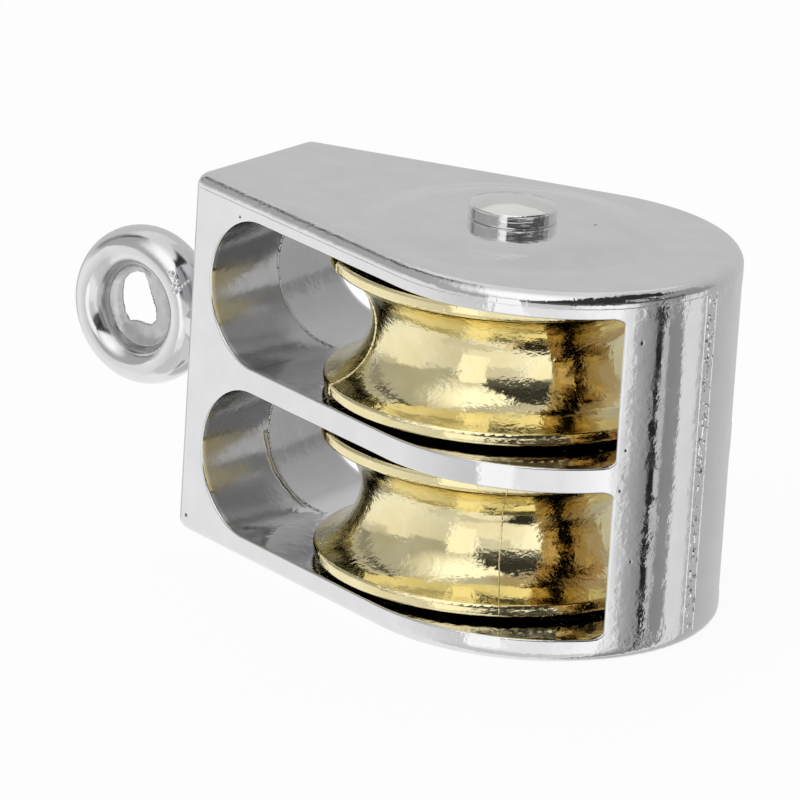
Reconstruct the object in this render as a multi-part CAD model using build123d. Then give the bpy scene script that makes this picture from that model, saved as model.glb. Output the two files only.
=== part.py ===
from build123d import *

import os
from math import acos, atan2, cos, hypot, radians, sin, tan

# Small double pulley block with a swivel eye, in millimetres.
# The axle lies along Z and the block rests on its lower side face, at Z = 0.
# X runs from the eye towards the round end, with the axle at X = 0, Y = 0.

# Sheaves: two grooved wheels on one axle
sheave_diameter = 25.0
sheave_width = 9.9
groove_bottom_diameter = 18.8
rim_band = 0.9
rim_round = 0.32
rim_round_limit = 0.4
hub_diameter = 9.0
hub_step = 0.25
bore_clearance = 0.05
hub_clearance = 0.10

# Axle pin: domed head above, peened flush below
pin_diameter = 4.0
head_diameter = 6.2
head_height = 0.95
head_dome = 0.5
head_round = 0.15
peen_diameter = 5.2
peen_depth = 0.6

# Frame: one casting with two windows
cheek = 1.8
middle_wall = 1.8
rope_gap = 8.2
front_gap = 2.3
window_draft = 3.5
nose_wall = 2.05
nose_cover = 0.8
end_wall = 2.5
end_width = 12.8
corner_round = 1.1
edge_round = 1.0
window_corner = 0.5
window_edge_round = 0.15
crown_height = 0.65
crown_margin = 0.3
crown_dip = 0.02
seat_margin = 3.2

# Swivel eye: ring, neck, shank and the button cast into the frame
eye_bore = 6.0
eye_reach = 8.9
ring_wall = 2.85
ring_thickness = 4.0
land_depth = 0.04
neck_diameter = 4.8
neck_root_diameter = 3.4
neck_overlap = 0.8
shank_diameter = 2.8
shank_seat = 1.7
button_diameter = 4.4
button_thickness = 1.3
swivel_clearance = 0.08
shoulder_gap = 0.10

# Working allowances: how far a cut runs past a face, how closely a face is found,
# and how much of its length an edge runs across the block to count as a through edge
overshoot = 1.0
tolerance = 0.001
through_share = 0.9

# Sizes that follow from those above
sheave_radius = sheave_diameter / 2
pin_radius = pin_diameter / 2
window_height = sheave_width + 2 * (hub_step + hub_clearance)
block_height = 2 * cheek + 2 * window_height + middle_wall
window_back = sheave_radius + rope_gap
window_front = sheave_radius + front_gap
nose_reach = window_front + nose_wall
nose_radius = sheave_radius + nose_cover
nose_centre = nose_reach - nose_radius
end_face = -(window_back + end_wall)
seat_level = block_height + crown_height
seat_radius = head_diameter / 2 + seat_margin
eye_level = block_height / 2
eye_centre = end_face - eye_reach
lower_window_floor = cheek
upper_window_floor = cheek + window_height + middle_wall


def turned(profile):
    """A solid of revolution about Z from a face in the XZ plane."""
    return revolve(profile, Axis.Z, 360)


def rod_along_x(diameter, start, stop):
    """A round rod along X at the eye's level, from X = start to X = stop."""
    rod = Cylinder(diameter / 2, stop - start, rotation=(0, 90, 0))
    return Pos((start + stop) / 2, 0, eye_level) * rod


def rod_along_z(diameter, start, stop):
    """A round rod along the axle, from Z = start to Z = stop."""
    return Pos(0, 0, (start + stop) / 2) * Cylinder(diameter / 2, stop - start)


def tangent_point():
    """Where the straight side of the outline meets the round end, on the +Y side."""
    across = end_face - nose_centre
    half = end_width / 2
    angle = atan2(half, across) - acos(nose_radius / hypot(across, half))
    return nose_centre + nose_radius * cos(angle), nose_radius * sin(angle)


def outline():
    """The block's plan: a narrow flat end, two straight sides and a round end."""
    tx, ty = tangent_point()
    half = end_width / 2
    sides = Polyline((tx, -ty), (end_face, -half), (end_face, half), (tx, ty))
    nose = ThreePointArc((tx, ty), (nose_reach, 0), (tx, -ty))
    return make_face(sides + nose)


def crown():
    """The low crown of the upper cheek, which rises to the flat seat of the axle's head."""
    tx, ty = tangent_point()
    side_reach = nose_radius + nose_centre * (tx - nose_centre) / nose_radius
    rim = side_reach - edge_round - crown_margin
    dip = block_height - crown_dip
    foot = block_height - cheek / 2
    slope = Spline(
        (seat_radius, seat_level),
        (rim, dip),
        tangents=((1, 0), (1, 0)),
    )
    rest = Polyline((rim, dip), (rim, foot), (0, foot), (0, seat_level), (seat_radius, seat_level))
    return turned(Plane.XZ * make_face(slope + rest))


def side_half_width(x):
    """Half the block's width at X, on its straight sides."""
    tx, ty = tangent_point()
    half = end_width / 2
    return half + (ty - half) * (x - end_face) / (tx - end_face)


def window(floor):
    """The cut for one sheave: a square end towards the nose and a round end towards the eye.

    Two cores meet on the middle plane, so the round end leans away from it towards each mouth.
    """
    radius = window_height / 2
    lean = tan(radians(window_draft))
    back_at_middle = -window_back + lean * side_half_width(-window_back)
    arc_centre = back_at_middle + radius
    top = floor + window_height
    middle = floor + radius
    depth = nose_radius + overshoot
    straight = make_face(Polyline(
        (arc_centre, floor),
        (window_front, floor),
        (window_front, top),
        (arc_centre, top),
        (arc_centre, floor),
    ))
    corners = straight.vertices().sort_by(Axis.X)[-2:]
    cut = extrude(Plane.XZ * fillet(corners, window_corner), depth, both=True)
    sides = Polyline((arc_centre, floor), (0, floor), (0, top), (arc_centre, top))
    back = ThreePointArc((arc_centre, top), (back_at_middle, middle), (arc_centre, floor))
    rounded = Plane.XZ * make_face(sides + back)
    for side in (-1, 1):
        cut = cut + extrude(rounded, hypot(depth, lean * depth), dir=(-lean, side, 0))
    return cut


def mouth_edges(body, floor):
    """The edges where one window breaks out of the two sides."""
    edges = ShapeList()
    for edge in body.edges():
        middle = edge @ 0.5
        through = abs((edge @ 0 - edge @ 1).Y) > through_share * edge.length
        at_side = abs(middle.Y) > end_width / 4
        in_height = floor - tolerance < middle.Z < floor + window_height + tolerance
        in_length = -window_back - tolerance < middle.X < window_front + tolerance
        if at_side and in_height and in_length and not through:
            edges.append(edge)
    return edges


def frame():
    """The casting: outline, crown, windows, axle bore and the eye's cavity."""
    body = extrude(outline(), block_height)
    body = fillet(body.edges().filter_by(Axis.Z).group_by(Axis.X)[0], corner_round)
    rims = body.edges().group_by(Axis.Z)
    body = fillet(rims[0] + rims[-1], edge_round)
    body = body + crown()
    floors = (lower_window_floor, upper_window_floor)
    for floor in floors:
        body = body - window(floor)
    for floor in floors:
        body = fillet(mouth_edges(body, floor), window_edge_round)
    body = body - rod_along_z(pin_diameter, -overshoot, seat_level + overshoot)
    body = body - peened_end()
    hole = shank_diameter + 2 * swivel_clearance
    cavity = button_diameter + 2 * swivel_clearance
    seat = end_face + shank_seat
    body = body - rod_along_x(hole, end_face - overshoot, seat + button_thickness / 2)
    return body - rod_along_x(cavity, seat, seat + button_thickness + 2 * swivel_clearance)


def peened_end():
    """The spread lower end of the pin, flush with the lower face."""
    return Pos(0, 0, peen_depth / 2) * Cone(peen_diameter / 2, pin_radius, peen_depth)


def axle_pin():
    """The pin: shaft, domed head on the upper cheek and peened lower end."""
    radius = head_diameter / 2
    shoulder = seat_level + head_height
    top = shoulder + head_dome
    dome = TangentArc((0, top), (radius, shoulder), tangent=(1, 0))
    sides = Polyline((radius, shoulder), (radius, seat_level), (0, seat_level), (0, top))
    face = make_face(dome + sides)
    rim = face.vertices().group_by(Axis.X)[-1]
    head = turned(Plane.XZ * fillet(rim, head_round))
    return head + rod_along_z(pin_diameter, peen_depth / 2, seat_level) + peened_end()


def sheave(window_floor):
    """A grooved wheel: round groove, narrow rims, and a hub that stands proud of the sides."""
    half = sheave_width / 2
    hub_half = half + hub_step
    bore = pin_radius + bore_clearance
    groove_half = half - rim_band
    groove = ThreePointArc(
        (sheave_radius, -groove_half),
        (groove_bottom_diameter / 2, 0),
        (sheave_radius, groove_half),
    )
    rest = Polyline(
        (sheave_radius, groove_half),
        (sheave_radius, half),
        (hub_diameter / 2, half),
        (hub_diameter / 2, hub_half),
        (bore, hub_half),
        (bore, -hub_half),
        (hub_diameter / 2, -hub_half),
        (hub_diameter / 2, -half),
        (sheave_radius, -half),
        (sheave_radius, -groove_half),
    )
    face = make_face(groove + rest)
    rims = face.vertices().group_by(Axis.X)[-1]
    face = fillet(rims, min(rim_round, rim_round_limit * rim_band))
    return Pos(0, 0, window_floor + window_height / 2) * turned(Plane.XZ * face)


def swivel_eye():
    """The eye: a thick ring, a flared neck, and the shank with its captive button."""
    half_wall = ring_wall / 2
    ring_radius = eye_bore / 2 - land_depth + half_wall
    section = Pos(eye_centre + ring_radius, 0, eye_level) * Ellipse(half_wall, ring_thickness / 2)
    axis = Axis((eye_centre, 0, eye_level), (0, 1, 0))
    ring = revolve(section, axis, 360)
    neck_start = eye_centre + ring_radius
    neck_stop = end_face - shoulder_gap
    length = neck_stop - neck_start
    neck = Cone(neck_root_diameter / 2, neck_diameter / 2, length, rotation=(0, 90, 0))
    body = ring + Pos(neck_start + length / 2, 0, eye_level) * neck
    bore = Cylinder(eye_bore / 2, 2 * ring_thickness, rotation=(90, 0, 0))
    body = body - Pos(eye_centre, 0, eye_level) * bore
    button_start = end_face + shank_seat + swivel_clearance
    body = body + rod_along_x(shank_diameter, neck_stop - neck_overlap, button_start + button_thickness / 2)
    return body + rod_along_x(button_diameter, button_start, button_start + button_thickness)


pieces = {
    "frame": frame(),
    "axle_pin": axle_pin(),
    "upper_sheave": sheave(upper_window_floor),
    "lower_sheave": sheave(lower_window_floor),
    "swivel_eye": swivel_eye(),
}

os.makedirs("parts", exist_ok=True)
for name, piece in pieces.items():
    piece.label = name
    export_step(piece, f"parts/{name}.step")
    box = piece.bounding_box()
    print(f"{name}: volume {piece.volume:.1f} mm3, box {box.min} to {box.max}")
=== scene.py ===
from math import acos, atan2, cos, hypot, pi, radians, sin

import bmesh
import bpy
from mathutils import Matrix, Vector, noise
from mathutils.bvhtree import BVHTree


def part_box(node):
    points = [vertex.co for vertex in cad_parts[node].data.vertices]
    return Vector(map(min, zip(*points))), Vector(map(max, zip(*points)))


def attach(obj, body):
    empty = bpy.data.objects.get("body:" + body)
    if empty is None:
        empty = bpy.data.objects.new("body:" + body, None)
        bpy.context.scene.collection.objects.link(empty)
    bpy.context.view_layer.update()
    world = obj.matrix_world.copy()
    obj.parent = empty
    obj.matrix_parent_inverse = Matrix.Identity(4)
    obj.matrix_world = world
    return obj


# A small double pulley block: plated casting, two brass-plated sheaves and a swivel eye.
# Blender works in metres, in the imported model's own frame. Sizes below are in mm, unless a comment
# says otherwise, and mm turns them into metres.

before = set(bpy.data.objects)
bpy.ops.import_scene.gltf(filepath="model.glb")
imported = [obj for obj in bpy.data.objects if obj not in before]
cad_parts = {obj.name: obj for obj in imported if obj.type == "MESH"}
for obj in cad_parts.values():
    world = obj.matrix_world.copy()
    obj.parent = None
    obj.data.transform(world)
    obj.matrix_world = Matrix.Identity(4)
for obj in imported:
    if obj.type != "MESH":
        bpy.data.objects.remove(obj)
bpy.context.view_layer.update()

mm = 0.001

# Camera: a long lens, turned and tilted as it stood. Its place and clip_range are in metres.
camera_azimuth = radians(36.763)
camera_elevation = radians(17.892)
camera_roll = radians(3.578)
camera_place = Vector((0.32036, -0.44050, 0.18928))
focal_length = 368.89
sensor = 36.0
clip_range = (0.01, 100)

# Studio, as seen from the block, in degrees: azimuth 0 is where a camera at azimuth 0 stands.
# A card holds its name, its azimuth range, its elevation range, the brightness at its two sides, the
# softness of its edges, and how far it leans: degrees of azimuth for each degree of elevation.
# A later card hangs in front of an earlier one. The round key light hangs between the walls and the
# cards: it is even within key_core of its middle and fades to nothing at key_reach.
table_level = 0.94
wall_level = 0.60
horizon_softness = 5.0
half_turn = 180
walls = [
    ("ceiling", -180, 180, 66, 90, 0.80, 0.80, 8, 0),
    ("back wall", -190, -97, -24, 52, 0.60, 0.63, 5, 0),
    ("window behind, left", -175, -96, 42, 67, 0.78, 0.82, 4, 0),
    ("left wall", -100, 24, 9, 68, 0.42, 0.52, 3, 0),
    ("slot in the left wall, above", -90, -79, 34, 61, 0.08, 0.12, 2, 0),
    ("slot in the left wall, below", -91, -79, 9, 36, 0.30, 0.26, 2, 0),
]
cards = [
    ("table, front left", -60, 1, -60, 8, 0.96, 0.69, 4, 0),
    ("table, far left edge", -32, -4, 2, 20, 0.50, 0.44, 5, 0),
    ("table, below", -30, 95, -90, -42, 0.66, 0.72, 6, 0),
    ("dark room, high", 42, 135, 22, 69, 0.04, 0.03, 4, 1.05),
    ("dark room, low", 24, 90, 12, 26, 0.10, 0.09, 3, 0),
    ("line under the key light", -2, 18, 21, 27, 0.72, 0.72, 3, 0),
    ("front card", 0, 23, -29, 22, 1.16, 1.16, 2, 0),
    ("table, front", 23, 52, -45, -11, 0.96, 0.96, 4, 0),
    ("table's far edge, front", 23, 52, -11, 7, 0.72, 0.72, 3, 0),
    ("table, front right", 52, 82, -38, 10, 0.98, 1.18, 5, 0),
    ("right wedge", 72, 92, 8, 14, 0.34, 0.60, 5, 0),
    ("right edge", 82, 92, -80, 12, 1.00, 0.80, 4, 0),
    ("right wall, near", 91, 107, -80, 40, 0.52, 0.24, 4, 0),
    ("right shade", 107, 127, -80, 40, 0.26, 0.32, 2, 0),
    ("right window", 126, 142, -60, 10, 0.84, 0.80, 3, 0),
    ("back right wall", 142, 193, -80, 42, 0.50, 0.62, 4, 0),
    ("back right wall, high", 128, 150, 8, 44, 0.30, 0.34, 5, 0),
    ("dark post", 105.5, 110.3, -40, 45, 0.02, 0.02, 1, 0),
    ("light edge of the post", 110.3, 114.2, -40, 45, 0.62, 0.56, 1.5, 0),
    ("dark room, right", 88, 128, 13, 24, 0.09, 0.12, 3, 0),
]
key_azimuth = radians(15)
key_elevation = radians(55)
key_core = 14
key_reach = 42
key_level = 1.25

# The block's outline, the middle levels of its sheaves and the middle of the eye's ring. The ends in X
# and the nose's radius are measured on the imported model, and the rest follow from its source's sizes.
nose_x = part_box("frame")[1][0] / mm
end_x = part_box("frame")[0][0] / mm
nose_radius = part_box("frame")[1][1] / mm
nose_centre = nose_x - nose_radius
end_half_width = 6.4
cheek = 1.8
block_height = 26.6
lower_level = 7.1
upper_level = 19.5
eye_middle = (-32.1, 0, 13.3)

# Floor, in metres: how bright its plain white is, and how much of its tone that white makes up.
# The rest takes the light and the block's shadow.
floor_size = 3.0
floor_glow = 1.03
floor_white = 0.9
floor_colour = (0.95, 0.95, 0.95, 1)
floor_roughness = 0.9

# Plating: the clouds that its colour, gloss and peel follow, in features a metre, how finely they are
# drawn, and where a cloud starts and ends. peel_clouds holds the last for the peel, and the peel's
# strength at both.
cloud_scale = 420
cloud_detail = 4
blur_scale = 900
fine_detail = 3
cloud_range = (0.35, 0.65)
peel_clouds = (0.40, 0.60, 0.3, 1.5)
# The least brightness that painted shade leaves a colour
least_bright = 0.1

# Plating colours, darkest and lightest, and roughness, least and most
nickel_colours = ((0.77, 0.77, 0.78), (0.81, 0.81, 0.82))
head_colours = ((0.80, 0.80, 0.79), (0.85, 0.85, 0.84))
brass_colours = ((0.88, 0.77, 0.43), (0.94, 0.845, 0.52))
web_colours = ((0.52, 0.52, 0.52), (0.66, 0.66, 0.66))
frame_roughness = (0.04, 0.09)
eye_roughness = (0.10, 0.18)
head_roughness = (0.05, 0.11)
web_roughness = (0.24, 0.40)
brass_roughness = (0.04, 0.12)

# Reliefs of the plating: features a metre, and a height in metres. A stretch multiplies the features
# along X, Y and Z. head_dome is how far the head's top falls away, in mm at 1 mm off its middle.
frame_waves = (170, 2.0e-5)
frame_peel = (2000, 1.0e-5)
eye_waves = (260, 2.0e-5)
eye_peel = (1800, 5.0e-6)
web_peel = (1600, 3.0e-5)
head_waves = (500, 4.0e-5)
head_peel = (700, 2.4e-5)
head_stretch = (0.5, 0.5, 4.0)
head_dome = 0.035
sheave_waves = (600, 2.4e-5)
sheave_peel = (2600, 2.6e-5)
sheave_stretch = (0.8, 0.8, 1.2)

# By the block's upper and lower edges the peel is stronger: from one distance off the middle plane to
# the next it grows to edge_peel times, and over the last edge_fade before the flat faces it falls back
edge_reach = (10.9, 11.9)
edge_peel = 2.6
edge_fade = 0.25

# Inside the windows the plating is dull and darkened with painted shade at the eye's end, and darkened
# with painted brownish shade, coloured like the brass sheaves' reflection, in the gap ahead of the sheaves.
# The two reaches are in X. wall_depth is how deep inside the block's outline a point lies where that
# starts and where it is full. The share is how bright the colour stays under full painted shade, the blur
# how much rougher the plating gets, and the halves are how dull and shaded the front half, with Y below
# 0, and the back are.
gap_shade_tint = (0.76, 0.61, 0.43)
gap_reach = (7.0, 10.0)
dull_and_shade_reach = (-14.0, -9.5)
shaded_brightness = 0.60
dull_blur = 0.10
dull_and_shade_halves = (1.10, 0.72)
halves_blend = 0.3
wall_depth = (0.15, 0.60)
cheek_overlap = 0.2

# The eye's bore is dull too, and darkened with painted shade, and that fades out between two distances from
# its middle
bore_reach = (3.1, 3.7)
bore_dull_and_shade = 0.55

# Small pits in the casting: their places and radii. Painted shade darkens each inwards by pit_shade,
# up to pit_darkest, and they are pit_depth of their radius deep.
frame_pits = (
    ((5.0, 2.94, 27.25), 0.20),
    ((-17.75, -7.91, 24.75), 0.16),
    ((15.6, -5.6, 23.05), 0.22),
    ((15.7, -5.3, 7.3), 0.18),
    ((-22.05, -6.72, 1.35), 0.20),
    ((15.3, -6.2, 15.4), 0.14),
    ((15.2, -6.4, 12.5), 0.14),
)
pit_shade = 1.5
pit_darkest = 0.9
pit_depth = 1 / 3

# Ridges of casting flash: width, height, raggedness and the length of their grains
nose_flash = (0.14, 0.07, 0.5, 0.14)
core_flash = (0.20, 0.10, 0.6, 0.14)
core_ledge = (0.60, 0.12, 0.4, 0.50)
edge_seam = (0.10, 0.04, 0.5, 0.20)
sheave_seam = (0.14, 0.06, 0.5, 0.14)

# A ridge's section: shares of its width across it, and how far each stands out as a share of its height.
# Along the ridge its height swings with its raggedness, though not below ridge_least of it, and rises
# over ridge_taper steps at both ends. It wanders to the sides in longer grains.
ridge_across = (-0.5, -0.28, 0.0, 0.28, 0.5)
ridge_rise = (-0.5, 0.55, 1.0, 0.55, -0.5)
ridge_swing = 1.4
ridge_least = 0.15
ridge_taper = 4
wander_grains = 3

# Where each ridge reads the noise that makes it ragged, and where the grit and the web read theirs
ridge_seeds = {
    "nose_flash_1": 3,
    "nose_flash_2": 8,
    "lower_core_flash": 21,
    "upper_core_flash": 22,
    "lower_core_ledge": 25,
    "edge_seam": 31,
    "upper_sheave_seam_1": 60,
    "upper_sheave_seam_2": 63,
    "lower_sheave_seam_1": 48,
    "lower_sheave_seam_2": 51,
}
seed_spacing = 17.3
ridge_layer = 4.1
grit_layer = 7.7
web_layer = 2.7

# Where the ridges run. A line is found by rays, line_step or angle_step degrees apart. They start well
# outside the frame or a sheave, or in the middle of a window's round end. The edge's seam starts on the
# straight side and goes round the nose, as seen from edge_seam_centre.
outside = 40
outside_sheave = 30
line_step = 0.1
angle_step = 2
nose_flash_y = (0.0, 1.25)
nose_flash_bottom = 0.9
nose_flash_rays = 249
window_middle = -15.2
core_angles = (84, 275)
ledge_angles = (184, 262)
ledge_y = -0.34
edge_seam_level = 25.58
edge_seam_start = -22.5
edge_seam_step = 0.5
edge_seam_rays = 39
edge_seam_centre = 3.5
edge_seam_angles = (60, 181)
seam_reach = 4.9
seam_rays = 99
upper_seam_azimuth = -36
lower_seam_azimuth = 40

# The torn band between the nose's flash lines: its reach, its grid, and its grain in features a metre,
# across and along it. grit_finer is the strength and the scale of a finer grain. grit_swell is how
# often a slow swell repeats over the band's width and in a mm along it. grit_mix weighs the grain, the
# swell and the fall to both sides of the crest. The band rises over grit_taper rows and columns.
grit_y = (0.05, 1.30)
grit_z = (1.0, 25.6)
grit_rows = 300
grit_columns = 18
grit_grain = (3600, 1700)
grit_finer = (0.6, 2.3)
grit_swell = (1.5, 0.35)
grit_mix = (1.7, 0.8, 1.4)
grit_crest = 0.4
grit_range = (-0.5, 0.8)
grit_taper = (6, 2)
grit_lift = 0.16
grit_sunk = 0.08
grit_depth = 0.12

# The web of flash in the eye's bore. Its section has points at web_shares from the hole to the rim and
# grows from thin to thick by the power of web_flare. web_hole holds the hole's corners in X and Z, from
# the bore's middle. Its edge strays from them by up to web_rag, the finer the greater web_grain is.
web_rim = 3.15
web_slices = 160
web_shares = (0.0, 0.06, 0.16, 0.3, 0.5, 0.7, 0.86, 1.0)
web_thin = 0.16
web_thick = 1.1
web_flare = 2.2
web_rag = 0.07
web_grain = 9
web_hole = (
    (-2.12, 1.32), (-1.62, 1.98), (-0.96, 2.27), (-0.22, 2.37), (0.12, 1.90), (0.42, 1.16), (0.80, 0.40),
    (1.07, -0.19), (1.12, -0.94), (0.70, -1.38), (0.03, -1.43), (-0.70, -1.38), (-1.37, -1.53),
    (-1.87, -1.05), (-2.02, -0.55), (-2.18, 0.40),
)
nearly_parallel = 1e-9

# The beads of flash in the corner of the eye's neck: places and radii. Each sits where a ray towards
# its place, from the front right and above, meets the eye.
bead_start = Vector((5.7, -7.6, 3.1))
neck_beads = (
    ((-28.65, -1.55, 16.72), 0.24),
    ((-28.30, -1.60, 16.55), 0.20),
    ((-28.05, -1.60, 16.22), 0.27),
    ((-28.35, -1.65, 15.95), 0.22),
    ((-27.80, -1.60, 15.80), 0.20),
    ((-28.15, -1.65, 15.50), 0.24),
    ((-27.55, -1.60, 16.05), 0.15),
    ((-27.30, -1.60, 16.30), 0.14),
    ((-27.05, -1.60, 16.55), 0.13),
)


class Nodes:
    """Short forms for the nodes of one tree. What they return are output sockets."""

    def __init__(self, tree):
        self.tree = tree

    def join(self, value, socket):
        """Gives a socket its value: a plain number or another node's output."""
        if isinstance(value, (int, float)):
            socket.default_value = value
        else:
            self.tree.links.new(value, socket)

    def maths(self, operation, *values):
        """One maths node."""
        made = self.tree.nodes.new("ShaderNodeMath")
        made.operation = operation
        for value, socket in zip(values, made.inputs):
            self.join(value, socket)
        return made.outputs[0]

    def product(self, first, *others):
        """The product of two or more values."""
        total = first
        for value in others:
            total = self.maths("MULTIPLY", total, value)
        return total

    def fade(self, value, low, high, at_low=0.0, at_high=1.0, smooth=True):
        """A value that goes from at_low to at_high as another goes from low to high, and stays there."""
        made = self.tree.nodes.new("ShaderNodeMapRange")
        made.interpolation_type = "SMOOTHSTEP" if smooth else "LINEAR"
        self.join(value, made.inputs["Value"])
        self.join(low, made.inputs["From Min"])
        self.join(high, made.inputs["From Max"])
        self.join(at_low, made.inputs["To Min"])
        self.join(at_high, made.inputs["To Max"])
        return made.outputs["Result"]

    def mixed(self, share, first, second):
        """The first value where the share is 0 and the second where it is 1."""
        made = self.tree.nodes.new("ShaderNodeMix")
        self.join(share, made.inputs["Factor"])
        self.join(first, made.inputs["A"])
        self.join(second, made.inputs["B"])
        return made.outputs["Result"]

    def place(self):
        """The shaded point's place in the model, in metres, as a vector."""
        return self.tree.nodes.new("ShaderNodeTexCoord").outputs["Object"]

    def place_in_mm(self):
        """The shaded point's place in the model, in mm, as three values."""
        split = self.tree.nodes.new("ShaderNodeSeparateXYZ")
        self.tree.links.new(self.place(), split.inputs[0])
        return [self.maths("DIVIDE", value, mm) for value in split.outputs]

    def clouds(self, scale, height=1, detail=2.0, stretch=(1, 1, 1)):
        """Noise over the piece: features a metre, and how high it rises."""
        mapping = self.tree.nodes.new("ShaderNodeMapping")
        mapping.inputs["Scale"].default_value = stretch
        self.tree.links.new(self.place(), mapping.inputs["Vector"])
        made = self.tree.nodes.new("ShaderNodeTexNoise")
        made.inputs["Scale"].default_value = scale
        made.inputs["Detail"].default_value = detail
        self.tree.links.new(mapping.outputs["Vector"], made.inputs["Vector"])
        return self.product(made.outputs["Fac"], height)

    def near(self, place, radius):
        """1 at a place given in mm, falling to 0 at a radius round it."""
        gap = self.tree.nodes.new("ShaderNodeVectorMath")
        gap.operation = "DISTANCE"
        self.tree.links.new(self.place(), gap.inputs[0])
        gap.inputs[1].default_value = [value * mm for value in place]
        return self.fade(gap.outputs["Value"], 0, radius * mm, 1, 0)

    def tones(self, share, darkest, lightest):
        """A colour that follows the clouds between two tones."""
        ramp = self.tree.nodes.new("ShaderNodeValToRGB")
        for element, colour, at in zip(ramp.color_ramp.elements, (darkest, lightest), cloud_range):
            element.color = (*colour, 1)
            element.position = at
        self.tree.links.new(share, ramp.inputs["Fac"])
        return ramp.outputs["Color"]

    def tinted(self, colour, share, painted_shade):
        """A colour, multiplied by a tint by the share given; it paints the brownish shade in the windows."""
        made = self.tree.nodes.new("ShaderNodeMix")
        made.data_type = "RGBA"
        made.blend_type = "MULTIPLY"
        # Sockets for numbers and for colours share their names, so those for colours go by number
        factor, first, second = (made.inputs[index] for index in (0, 6, 7))
        self.tree.links.new(share, factor)
        self.tree.links.new(colour, first)
        second.default_value = (*painted_shade, 1)
        return made.outputs[2]

    def dimmed(self, colour, level):
        """A colour, times a level."""
        made = self.tree.nodes.new("ShaderNodeVectorMath")
        made.operation = "SCALE"
        self.tree.links.new(colour, made.inputs[0])
        self.tree.links.new(level, made.inputs["Scale"])
        return made.outputs[0]

    def relief(self, heights):
        """The normal of a surface that rises by the sum of the heights, in metres."""
        total = heights[0]
        for height in heights[1:]:
            total = self.maths("ADD", total, height)
        bump = self.tree.nodes.new("ShaderNodeBump")
        bump.inputs["Strength"].default_value = 1
        bump.inputs["Distance"].default_value = 1
        self.tree.links.new(total, bump.inputs["Height"])
        return bump.outputs["Normal"]


def material(name):
    """A new node material with its shader and its node tree."""
    made = bpy.data.materials.new(name)
    made.use_nodes = True
    return made, made.node_tree.nodes["Principled BSDF"], made.node_tree


def in_windows(nodes):
    """How much painted brownish shade the frame's plating has, and how dull and darkened with painted shade
    it is: both only on the walls inside the windows.
    """
    x, signed, z = nodes.place_in_mm()
    y = nodes.maths("ABSOLUTE", signed)
    # How far inside the straight sides and the narrow end
    across = end_x - nose_centre
    slope = atan2(end_half_width, across) - acos(nose_radius / hypot(across, end_half_width))
    reach = nose_radius + nose_centre * cos(slope)
    outward = nodes.maths("ADD", nodes.product(x, cos(slope)), nodes.product(y, sin(slope)))
    side = nodes.maths("MINIMUM", nodes.maths("SUBTRACT", reach, outward), nodes.maths("SUBTRACT", x, end_x))
    # How far inside the round nose
    ahead = nodes.maths("MAXIMUM", nodes.maths("SUBTRACT", x, nose_centre), 0)
    off_centre = nodes.maths("SQRT", nodes.maths("ADD", nodes.product(ahead, ahead), nodes.product(y, y)))
    side = nodes.maths("MINIMUM", side, nodes.maths("SUBTRACT", nose_radius, off_centre))
    # How far inside the two cheeks
    below = nodes.maths("SUBTRACT", z, cheek - cheek_overlap)
    above = nodes.maths("SUBTRACT", block_height - cheek + cheek_overlap, z)
    depth = nodes.maths("MINIMUM", side, nodes.maths("MINIMUM", below, above))
    inside = nodes.fade(depth, *wall_depth)
    # The front half, with Y below 0, is duller and darker with painted shade than the back
    half = nodes.fade(signed, -halves_blend, halves_blend, *dull_and_shade_halves)
    # Painted brownish shade in the gap ahead of the sheaves
    painted_shade = nodes.product(inside, nodes.fade(x, *gap_reach))
    return painted_shade, nodes.product(inside, half, nodes.fade(x, *dull_and_shade_reach, 1, 0))


def in_eye_bore(nodes):
    """How much painted brownish shade the eye's plating has, which is none, and how dull and darkened with
    painted shade it is: only inside the bore.
    """
    x, y, z = nodes.place_in_mm()
    x = nodes.maths("SUBTRACT", x, eye_middle[0])
    z = nodes.maths("SUBTRACT", z, eye_middle[2])
    off_centre = nodes.maths("SQRT", nodes.maths("ADD", nodes.product(x, x), nodes.product(z, z)))
    return None, nodes.fade(off_centre, *bore_reach, bore_dull_and_shade, 0)


def by_the_edges(nodes):
    """How much stronger the frame's peel is by the block's edges: a rise, and a fall at the flat faces."""
    flat = block_height / 2
    off_middle = nodes.maths("ABSOLUTE", nodes.maths("SUBTRACT", nodes.place_in_mm()[2], flat))
    rise = nodes.fade(off_middle, *edge_reach, 1, edge_peel)
    return rise, nodes.fade(off_middle, flat - edge_fade, flat, 1, 1 / edge_peel)


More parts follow.
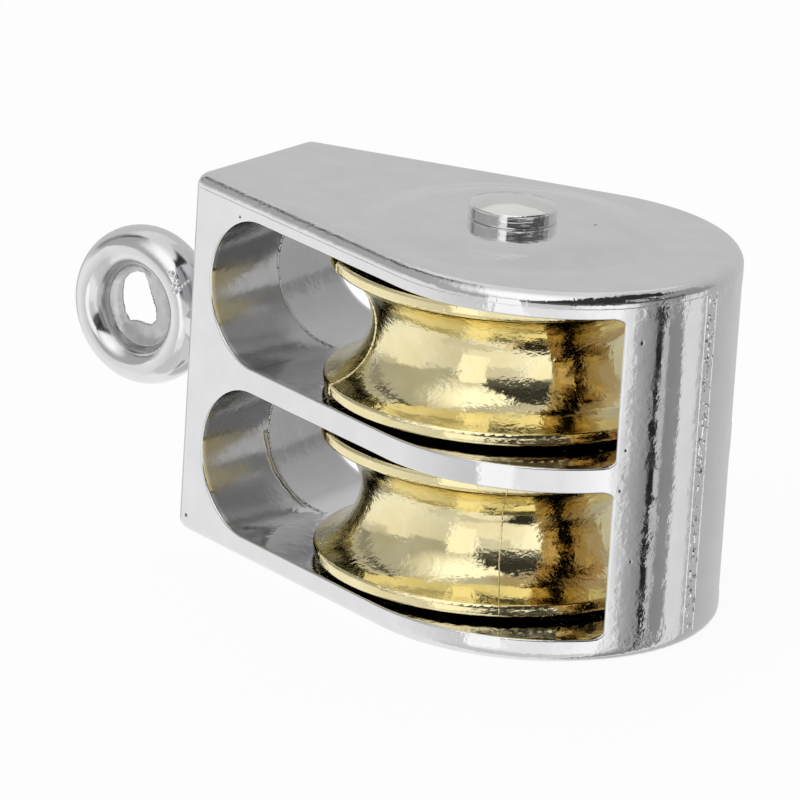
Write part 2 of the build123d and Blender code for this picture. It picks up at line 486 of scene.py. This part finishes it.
def plated(name, colours, roughness, waves, peel, stretch=(1, 1, 1), recess_shade=None, edges=None, pits=(), dome=0):
    """Bright plating over a die casting.

    waves and peel are reliefs: the casting's slow waves, and the fine orange peel of the plating, drawn
    out by stretch. The function given for recesses tells how much painted brownish shade the plating has and
    how dull and darkened with painted shade it is, and edges how much stronger its peel is. pits are places
    and radii. dome is how far a head's top falls away, in mm at 1 mm off its middle.
    """
    made, shader, tree = material(name)
    nodes = Nodes(tree)
    clouds = nodes.clouds(cloud_scale, detail=cloud_detail)
    colour = nodes.tones(clouds, *colours)
    gloss = nodes.fade(nodes.clouds(blur_scale, detail=fine_detail), *cloud_range, *roughness)
    strength = nodes.fade(clouds, *peel_clouds)
    if edges:
        strength = nodes.product(strength, *edges(nodes))
    fine = nodes.product(nodes.clouds(*peel, fine_detail, stretch), strength)
    heights = [nodes.clouds(*waves), fine]
    bright = 1
    if recess_shade:
        # Painted shade: brownish in the gap ahead of the sheaves, and a darkening where the plating is dull,
        # which also roughens it
        painted_shade, dull_and_shade = recess_shade(nodes)
        bright = nodes.maths("SUBTRACT", 1, nodes.product(dull_and_shade, 1 - shaded_brightness))
        gloss = nodes.maths("ADD", gloss, nodes.product(dull_and_shade, dull_blur))
        if painted_shade:
            colour = nodes.tinted(colour, painted_shade, gap_shade_tint)
    # Each pit gets a shallow dip and painted shade that darkens it inwards
    for place, radius in pits:
        pit = nodes.near(place, radius)
        heights.append(nodes.product(pit, -radius * mm * pit_depth))
        shade = nodes.maths("MINIMUM", nodes.product(pit, pit_shade), pit_darkest)
        bright = nodes.maths("SUBTRACT", bright, shade)
    if dome:
        x, y, z = nodes.place_in_mm()
        heights.append(nodes.product(x, x, -dome * mm))
        heights.append(nodes.product(y, y, -dome * mm))
    # The painted shade of the recesses and the pits darkens the colour
    if recess_shade or pits:
        colour = nodes.dimmed(colour, nodes.maths("MAXIMUM", bright, least_bright))
    shader.inputs["Metallic"].default_value = 1
    tree.links.new(colour, shader.inputs["Base Color"])
    tree.links.new(gloss, shader.inputs["Roughness"])
    tree.links.new(nodes.relief(heights), shader.inputs["Normal"])
    return made


frame_nickel = plated("nickel_plate", nickel_colours, frame_roughness, frame_waves, frame_peel,
                      recess_shade=in_windows, edges=by_the_edges, pits=frame_pits)
eye_nickel = plated("nickel_plate_eye", nickel_colours, eye_roughness, eye_waves, eye_peel, recess_shade=in_eye_bore)
web_nickel = plated("nickel_plate_web", web_colours, web_roughness, eye_waves, web_peel)
head_nickel = plated("nickel_plate_head", head_colours, head_roughness, head_waves, head_peel,
                     stretch=head_stretch, dome=head_dome)
brass = plated("brass_plate", brass_colours, brass_roughness, sheave_waves, sheave_peel,
               stretch=sheave_stretch)

finishes = {
    "frame": frame_nickel,
    "axle_pin": head_nickel,
    "swivel_eye": eye_nickel,
    "upper_sheave": brass,
    "lower_sheave": brass,
}


def finish_nodes():
    """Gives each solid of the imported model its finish."""
    for node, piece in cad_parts.items():
        for slot in piece.material_slots:
            slot.material = finishes[node]


def make_camera():
    """The camera at the photograph's place, with its long lens."""
    data = bpy.data.cameras.new("camera")
    data.lens = focal_length
    data.sensor_width = sensor
    data.clip_start, data.clip_end = clip_range
    camera = bpy.data.objects.new("camera", data)
    bpy.context.scene.collection.objects.link(camera)
    back = Vector((sin(camera_azimuth) * cos(camera_elevation),
                   -cos(camera_azimuth) * cos(camera_elevation),
                   sin(camera_elevation)))
    level = Vector((0, 0, 1)).cross(back).normalized()
    upright = back.cross(level)
    right = level * cos(camera_roll) + upright * sin(camera_roll)
    up = back.cross(right)
    turn = Matrix((right, up, back)).transposed()
    camera.matrix_world = Matrix.Translation(camera_place) @ turn.to_4x4()
    bpy.context.scene.camera = camera


def make_floor():
    """A plain white floor that the block lies on. The studio's table stands for it in reflections."""
    half = floor_size / 2
    corners = [(-half, -half, 0), (half, -half, 0), (half, half, 0), (-half, half, 0)]
    mesh = bpy.data.meshes.new("floor")
    mesh.from_pydata(corners, [], [(0, 1, 2, 3)])
    floor = bpy.data.objects.new("floor", mesh)
    bpy.context.scene.collection.objects.link(floor)
    made, shader, tree = material("floor_white")
    shader.inputs["Base Color"].default_value = floor_colour
    shader.inputs["Roughness"].default_value = floor_roughness
    white = tree.nodes.new("ShaderNodeEmission")
    white.inputs["Strength"].default_value = floor_glow
    seen = tree.nodes.new("ShaderNodeLightPath").outputs["Is Camera Ray"]
    blend = tree.nodes.new("ShaderNodeMixShader")
    tree.links.new(Nodes(tree).product(seen, floor_white), blend.inputs["Fac"])
    tree.links.new(shader.outputs["BSDF"], blend.inputs[1])
    tree.links.new(white.outputs["Emission"], blend.inputs[2])
    tree.links.new(blend.outputs["Shader"], tree.nodes["Material Output"].inputs["Surface"])
    mesh.materials.append(made)
    floor.visible_glossy = False


def hang(nodes, level, azimuth, elevation, card):
    """The studio's level with one more card in front of it."""
    left, right, bottom, top, left_level, right_level, edge, lean = card[1:]
    rise = nodes.maths("SUBTRACT", elevation, (bottom + top) / 2)
    across = nodes.maths("SUBTRACT", azimuth, (left + right) / 2)
    if lean:
        across = nodes.maths("SUBTRACT", across, nodes.product(rise, lean))
    across = nodes.maths("WRAP", across, half_turn, -half_turn)
    width = (right - left) / 2
    height = (top - bottom) / 2
    inside = nodes.fade(nodes.maths("ABSOLUTE", rise), height - edge / 2, height + edge / 2, 1, 0)
    if width < half_turn:
        beside = nodes.fade(nodes.maths("ABSOLUTE", across), width - edge / 2, width + edge / 2, 1, 0)
        inside = nodes.product(inside, beside)
    shade = nodes.fade(across, -width, width, left_level, right_level, smooth=False)
    return nodes.mixed(inside, level, shade)


def hang_key(nodes, level, direction):
    """The studio's level with the round key light in front of it, even inside its core."""
    towards = nodes.tree.nodes.new("ShaderNodeVectorMath")
    towards.operation = "DOT_PRODUCT"
    nodes.tree.links.new(direction, towards.inputs[0])
    towards.inputs[1].default_value = (sin(key_azimuth) * cos(key_elevation),
                                       -cos(key_azimuth) * cos(key_elevation),
                                       sin(key_elevation))
    off_key = nodes.maths("DEGREES", nodes.maths("ARCCOSINE", towards.outputs["Value"]))
    return nodes.mixed(nodes.fade(off_key, key_core, key_reach, 1, 0, smooth=False), level, key_level)


def make_world():
    """The studio round the object: a white table, grey walls, a round key light and dark gaps."""
    world = bpy.data.worlds.new("studio")
    bpy.context.scene.world = world
    world.use_nodes = True
    tree = world.node_tree
    nodes = Nodes(tree)
    direction = tree.nodes.new("ShaderNodeTexCoord").outputs["Generated"]
    split = tree.nodes.new("ShaderNodeSeparateXYZ")
    tree.links.new(direction, split.inputs[0])
    x, y, z = split.outputs
    azimuth = nodes.maths("DEGREES", nodes.maths("ARCTAN2", x, nodes.product(y, -1)))
    elevation = nodes.maths("DEGREES", nodes.maths("ARCSINE", z))
    level = nodes.fade(elevation, -horizon_softness, horizon_softness, table_level, wall_level)
    for card in walls:
        level = hang(nodes, level, azimuth, elevation, card)
    level = hang_key(nodes, level, direction)
    for card in cards:
        level = hang(nodes, level, azimuth, elevation, card)
    seen = tree.nodes.new("ShaderNodeLightPath").outputs["Is Camera Ray"]
    background = tree.nodes["Background"]
    background.inputs["Color"].default_value = (1, 1, 1, 1)
    tree.links.new(nodes.mixed(seen, level, 1.0), background.inputs["Strength"])


def surface(node):
    """A search tree over one solid's mesh."""
    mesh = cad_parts[node].data
    points = [vertex.co for vertex in mesh.vertices]
    return BVHTree.FromPolygons(points, [face.vertices for face in mesh.polygons])


def touch(tree, start, way):
    """Where a ray from a start in mm meets a surface: the place and the outward normal, or None."""
    way = Vector(way).normalized()
    place, normal, index, distance = tree.ray_cast(Vector(start) * mm, way)
    if place is None:
        return None
    if normal.dot(way) > 0:
        normal = -normal
    return place, normal


def add_piece(name, body, finish, points, faces):
    """A smooth-shaded mesh that rides on a body."""
    mesh = bpy.data.meshes.new(name)
    mesh.from_pydata(points, [], faces)
    shape = bmesh.new()
    shape.from_mesh(mesh)
    bmesh.ops.recalc_face_normals(shape, faces=shape.faces)
    for face in shape.faces:
        face.smooth = True
    shape.to_mesh(mesh)
    shape.free()
    mesh.materials.append(finish)
    piece = bpy.data.objects.new(name, mesh)
    bpy.context.scene.collection.objects.link(piece)
    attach(piece, body)


def ragged(seed, distance, grain):
    """A steady random value from -1 to 1 along a line, with grains of a given length."""
    return noise.noise(Vector((distance / (grain * mm), seed * seed_spacing, ridge_layer)))


def even_steps(path, step):
    """The same line of places and normals, cut into even steps in metres."""
    made = [path[0]]
    left = step
    for (a, n), (b, m) in zip(path, path[1:]):
        span = (b - a).length
        at = left
        while at <= span and span > 0:
            share = at / span
            made.append((a.lerp(b, share), n.lerp(m, share).normalized()))
            at += step
        left = at - span
    return made


def ridge(name, body, finish, path, sizes):
    """A thin ragged ridge of flash that follows a line on a surface; it wanders, swells and breaks up."""
    width, height, rough, grain = sizes
    seed = ridge_seeds[name]
    step = grain * mm / 2
    path = even_steps([point for point in path if point], step)
    points = []
    for index, (place, normal) in enumerate(path):
        before = path[max(index - 1, 0)][0]
        after = path[min(index + 1, len(path) - 1)][0]
        side = normal.cross(after - before).normalized()
        at = index * step
        wander = ragged(seed, at, wander_grains * grain) * rough * width * mm / 2
        swell = 1 + rough * ragged(seed + 1, at, grain)
        lift = max(ridge_least, 1 + ridge_swing * rough * ragged(seed + 2, at, grain))
        ends = min(1, (index + 0.5) / ridge_taper, (len(path) - index - 0.5) / ridge_taper)
        for share, rise in zip(ridge_across, ridge_rise):
            out = rise * height * mm * (lift * ends if rise > 0 else 1)
            points.append(place + side * (wander + share * width * mm * swell) + normal * out)
    count = len(ridge_across)
    last = (len(path) - 1) * count
    faces = []
    for low in range(0, last, count):
        high = low + count
        for corner in range(count):
            turn = (corner + 1) % count
            faces.append((low + corner, low + turn, high + turn, high + corner))
    faces.append(tuple(range(count - 1, -1, -1)))
    faces.append(tuple(range(last, last + count)))
    add_piece(name, body, finish, points, faces)


def frame_ridge(name, path, sizes):
    """A ridge of flash on the frame."""
    ridge(name, "block", frame_nickel, path, sizes)


def make_nose_flash():
    """Two ragged flash lines down the round end, where the die's halves and its slide met."""
    tree = surface("frame")
    for number, y in enumerate(nose_flash_y, 1):
        heights = [nose_flash_bottom + line_step * index for index in range(nose_flash_rays)]
        path = [touch(tree, (outside, y, z), (-1, 0, 0)) for z in heights]
        frame_ridge(f"nose_flash_{number}", path, nose_flash)


def grit_height(place, share, z):
    """How high the torn band stands at a place, as a share of its lift."""
    way = Vector((place.y * grit_grain[0], 0, place.z * grit_grain[1]))
    finer, scale = grit_finer
    grain = noise.noise(way) + finer * noise.noise(way * scale)
    swell = noise.noise(Vector((grit_layer, share * grit_swell[0], z * grit_swell[1])))
    coarse, slow, fall = grit_mix
    height = grain * coarse + swell * slow - fall * abs(share - grit_crest) ** 2
    lowest, highest = grit_range
    return max(lowest, min(height, highest))


def make_nose_grit():
    """The rough band between the two flash lines, where the slide tore the skin."""
    tree = surface("frame")
    rows, columns = grit_rows, grit_columns
    upper, under = [], []
    for row in range(rows):
        z = grit_z[0] + (grit_z[1] - grit_z[0]) * row / (rows - 1)
        along = min(row, rows - 1 - row) / grit_taper[0]
        for column in range(columns):
            share = column / (columns - 1)
            y = grit_y[0] + (grit_y[1] - grit_y[0]) * share
            place, normal = touch(tree, (outside, y, z), (-1, 0, 0))
            across = min(column, columns - 1 - column) / grit_taper[1]
            height = grit_height(place, share, z) * min(1, along, across) - grit_sunk
            upper.append(place + normal * height * grit_lift * mm)
            under.append(place - normal * grit_depth * mm)
    below = rows * columns
    faces = []
    for row in range(rows - 1):
        for column in range(columns - 1):
            first = row * columns + column
            corners = (first, first + 1, first + columns + 1, first + columns)
            faces.append(corners)
            faces.append(tuple(below + corner for corner in reversed(corners)))
    edge = list(range(columns))
    edge += [row * columns + columns - 1 for row in range(1, rows)]
    edge += [(rows - 1) * columns + column for column in range(columns - 2, -1, -1)]
    edge += [row * columns for row in range(rows - 2, 0, -1)]
    for a, b in zip(edge, edge[1:] + edge[:1]):
        faces.append((b, a, below + a, below + b))
    add_piece("nose_grit", "block", frame_nickel, upper + under, faces)


def round_a_window(tree, y, level, angles):
    """A line round the inside of a window's round end, found from its middle."""
    path = []
    for degrees in range(*angles, angle_step):
        a = radians(degrees)
        path.append(touch(tree, (window_middle, y, level), (cos(a), 0, sin(a))))
    return path


def make_core_flash():
    """The flash line round the back of each window, where its two cores met, and the lower one's ledge."""
    tree = surface("frame")
    for name, level in (("lower", lower_level), ("upper", upper_level)):
        frame_ridge(f"{name}_core_flash", round_a_window(tree, 0, level, core_angles), core_flash)
    path = round_a_window(tree, ledge_y, lower_level, ledge_angles)
    frame_ridge("lower_core_ledge", path, core_ledge)


def make_edge_seam():
    """The fine seam under the upper outer edge, where the edge's rounding starts."""
    tree = surface("frame")
    path = []
    for index in range(edge_seam_rays):
        x = edge_seam_start + index * edge_seam_step
        path.append(touch(tree, (x, -outside, edge_seam_level), (0, 1, 0)))
    for degrees in range(*edge_seam_angles, angle_step):
        a = radians(degrees)
        start = (edge_seam_centre - outside * cos(a), -outside * sin(a), edge_seam_level)
        path.append(touch(tree, start, (cos(a), sin(a), 0)))
    frame_ridge("edge_seam", path, edge_seam)


def make_sheave_seams():
    """The casting seam along each sheave, over its rims and groove, on both sides."""
    seams = (("upper", upper_level, upper_seam_azimuth), ("lower", lower_level, lower_seam_azimuth))
    for sheave, level, azimuth in seams:
        tree = surface(f"{sheave}_sheave")
        for half in range(2):
            a = radians(azimuth + half_turn * half)
            out = Vector((sin(a), -cos(a), 0))
            path = []
            for index in range(seam_rays):
                height = Vector((0, 0, level - seam_reach + line_step * index))
                path.append(touch(tree, out * outside_sheave + height, -out))
            name = f"{sheave}_sheave_seam_{half + 1}"
            ridge(name, f"{sheave}_wheel", brass, path, sheave_seam)


def reach_of(outline, way):
    """How far from the middle a closed outline lies in one direction."""
    for a, b in zip(outline, outline[1:] + outline[:1]):
        edge = b - a
        across = way.x * edge.y - way.y * edge.x
        if abs(across) < nearly_parallel:
            continue
        reach = (a.x * edge.y - a.y * edge.x) / across
        share = (a.x * way.y - a.y * way.x) / across
        if reach > 0 and 0 <= share <= 1:
            return reach
    return outline[0].length


def make_eye_web():
    """The thin web of flash left in the eye's bore, thicker at its rim, with a ragged hole."""
    centre = Vector(eye_middle)
    hole = [Vector(corner) for corner in web_hole]
    points = []
    for turn in range(web_slices):
        a = 2 * pi * turn / web_slices
        way = Vector((cos(a), sin(a)))
        stray = noise.noise(Vector((way.x * web_grain, way.y * web_grain, web_layer)))
        inner = reach_of(hole, way) + web_rag * stray
        for side in (-1, 1):
            for share in (web_shares if side < 0 else reversed(web_shares)):
                r = inner + (web_rim - inner) * share
                half = (web_thin + (web_thick - web_thin) * share ** web_flare) / 2
                points.append((centre + Vector((way.x * r, side * half, way.y * r))) * mm)
    count = 2 * len(web_shares)
    faces = []
    for turn in range(web_slices):
        low = turn * count
        high = (turn + 1) % web_slices * count
        for corner in range(count):
            after = (corner + 1) % count
            faces.append((low + corner, low + after, high + after, high + corner))
    add_piece("eye_web", "eye", web_nickel, points, faces)


def make_neck_beads():
    """The beads of flash left in the corner between the ring and its neck."""
    tree = surface("swivel_eye")
    points, faces = [], []
    for near, radius in neck_beads:
        place = touch(tree, Vector(near) + bead_start, -bead_start)[0] / mm
        ball = bmesh.new()
        bmesh.ops.create_icosphere(ball, subdivisions=3, radius=radius)
        first = len(points)
        for vertex in ball.verts:
            points.append((place + vertex.co) * mm)
        for face in ball.faces:
            faces.append(tuple(first + vertex.index for vertex in face.verts))
        ball.free()
    add_piece("neck_beads", "eye", eye_nickel, points, faces)


finish_nodes()
make_nose_flash()
make_nose_grit()
make_core_flash()
make_edge_seam()
make_sheave_seams()
make_eye_web()
make_neck_beads()
make_camera()
make_floor()
make_world()
bpy.context.scene.view_settings.view_transform = "Standard"
